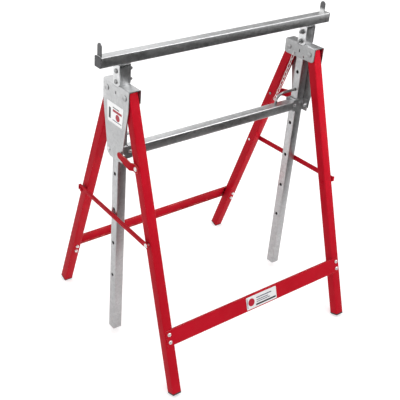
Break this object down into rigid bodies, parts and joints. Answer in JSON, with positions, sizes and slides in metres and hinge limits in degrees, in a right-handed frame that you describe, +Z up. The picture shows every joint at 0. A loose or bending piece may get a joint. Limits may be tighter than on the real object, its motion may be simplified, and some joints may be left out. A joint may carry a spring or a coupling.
{
  "type": "folding sawhorse",
  "caption": "Height-adjustable folding steel sawhorse: a square-tube support beam on sliding pinned posts between hinged, braced leg pairs.",
  "frame": {"origin": "on the floor, under the middle of the support beam", "axes": "+Z up, X along the support beam, -Y towards the leg pair whose cross bar carries the label"},
  "size_m": [0.7, 0.5656, 0.824],
  "materials": {
    "galvanised_steel": "galvanised sheet and tube, fine mottled spangle, satin",
    "zinc_fasteners": "bright zinc plate",
    "red_paint": "semi-gloss red powder coat on steel tube",
    "grey_plastic": "dark grey moulded plastic",
    "black_plastic": "black moulded plastic",
    "white_label": "glossy printed vinyl label"
  },
  "bodies": {
    "frame": {"head_bracket_left": "galvanised_steel", "head_bracket_right": "galvanised_steel", "tie_bar": "galvanised_steel", "post_guide_left": "galvanised_steel", "post_guide_right": "galvanised_steel", "guide_bolt_left_front": "zinc_fasteners", "guide_bolt_left_rear": "zinc_fasteners", "guide_bolt_right_front": "zinc_fasteners", "guide_bolt_right_rear": "zinc_fasteners", "leg_pivot_left_front": "zinc_fasteners", "leg_pivot_left_rear": "zinc_fasteners", "leg_pivot_right_front": "zinc_fasteners", "leg_pivot_right_rear": "zinc_fasteners", "pin_chain_left": "zinc_fasteners", "pin_chain_right": "zinc_fasteners", "head_label": "white_label"},
    "lift": {"top_beam": "galvanised_steel", "beam_end_cap_left": "grey_plastic", "beam_end_cap_right": "grey_plastic", "end_stop_left": "galvanised_steel", "end_stop_right": "galvanised_steel", "post_left": "galvanised_steel", "post_right": "galvanised_steel", "saddle_left": "galvanised_steel", "saddle_right": "galvanised_steel", "saddle_bolt_left_upper": "zinc_fasteners", "saddle_bolt_left_lower": "zinc_fasteners", "saddle_bolt_right_upper": "zinc_fasteners", "saddle_bolt_right_lower": "zinc_fasteners"},
    "front_legs": {"front_leg_left": "red_paint", "front_leg_right": "red_paint", "front_cross_bar": "red_paint", "front_foot_cap_left": "black_plastic", "front_foot_cap_right": "black_plastic", "front_bar_bolt_left_upper": "zinc_fasteners", "front_bar_bolt_left_lower": "zinc_fasteners", "front_bar_bolt_right_upper": "zinc_fasteners", "front_bar_bolt_right_lower": "zinc_fasteners", "cross_bar_label": "white_label", "link_pivot_left": "zinc_fasteners", "strut_pivot_left": "zinc_fasteners", "strut_stud_right": "red_paint"},
    "rear_legs": {"rear_leg_left": "red_paint", "rear_leg_right": "red_paint", "rear_cross_bar": "red_paint", "rear_foot_cap_left": "black_plastic", "rear_foot_cap_right": "black_plastic", "rear_bar_bolt_left_upper": "zinc_fasteners", "rear_bar_bolt_left_lower": "zinc_fasteners", "rear_bar_bolt_right_upper": "zinc_fasteners", "rear_bar_bolt_right_lower": "zinc_fasteners", "link_pivot_right": "zinc_fasteners", "strut_pivot_right": "zinc_fasteners", "strut_stud_left": "red_paint"},
    "strut_left": {"spreader_strut_left": "red_paint"},
    "strut_right": {"spreader_strut_right": "red_paint"},
    "link_left": {"brace_link_left": "red_paint"},
    "link_right": {"brace_link_right": "red_paint"},
    "pin_left": {"locking_pin_left": "zinc_fasteners"},
    "pin_right": {"locking_pin_right": "zinc_fasteners"}
  },
  "joints": [
    {"name": "beam_lift", "type": "slide", "parent": "frame", "child": "lift", "axis": [0, 0, 1], "range_m": [0, 0.3972]},
    {"name": "front_fold", "type": "hinge", "parent": "frame", "child": "front_legs", "pos_m": [0, -0.0371, 0.7], "axis": [1, 0, 0], "range_deg": [0, 16]},
    {"name": "rear_fold", "type": "hinge", "parent": "frame", "child": "rear_legs", "pos_m": [0, 0.0371, 0.7], "axis": [-1, 0, 0], "range_deg": [0, 16]},
    {"name": "strut_left_swing", "type": "hinge", "parent": "front_legs", "child": "strut_left", "pos_m": [-0.3036, -0.1485, 0.3735], "axis": [1, 0, 0], "range_deg": [0, 38]},
    {"name": "strut_right_swing", "type": "hinge", "parent": "rear_legs", "child": "strut_right", "pos_m": [0.3036, 0.1485, 0.3735], "axis": [-1, 0, 0], "range_deg": [0, 38]},
    {"name": "link_left_swing", "type": "hinge", "parent": "front_legs", "child": "link_left", "pos_m": [-0.2988, -0.0875, 0.545], "axis": [1, 0, 0], "range_deg": [0, 75]},
    {"name": "link_right_swing", "type": "hinge", "parent": "rear_legs", "child": "link_right", "pos_m": [0.2988, 0.0875, 0.545], "axis": [-1, 0, 0], "range_deg": [0, 75]},
    {"name": "pin_left_slide", "type": "slide", "parent": "frame", "child": "pin_left", "axis": [-1, 0, 0], "range_m": [-0.02, 0.0245], "deforming": ["pin_chain_left"]},
    {"name": "pin_right_slide", "type": "slide", "parent": "frame", "child": "pin_right", "axis": [1, 0, 0], "range_m": [-0.02, 0.0245], "deforming": ["pin_chain_right"]}
  ]
}
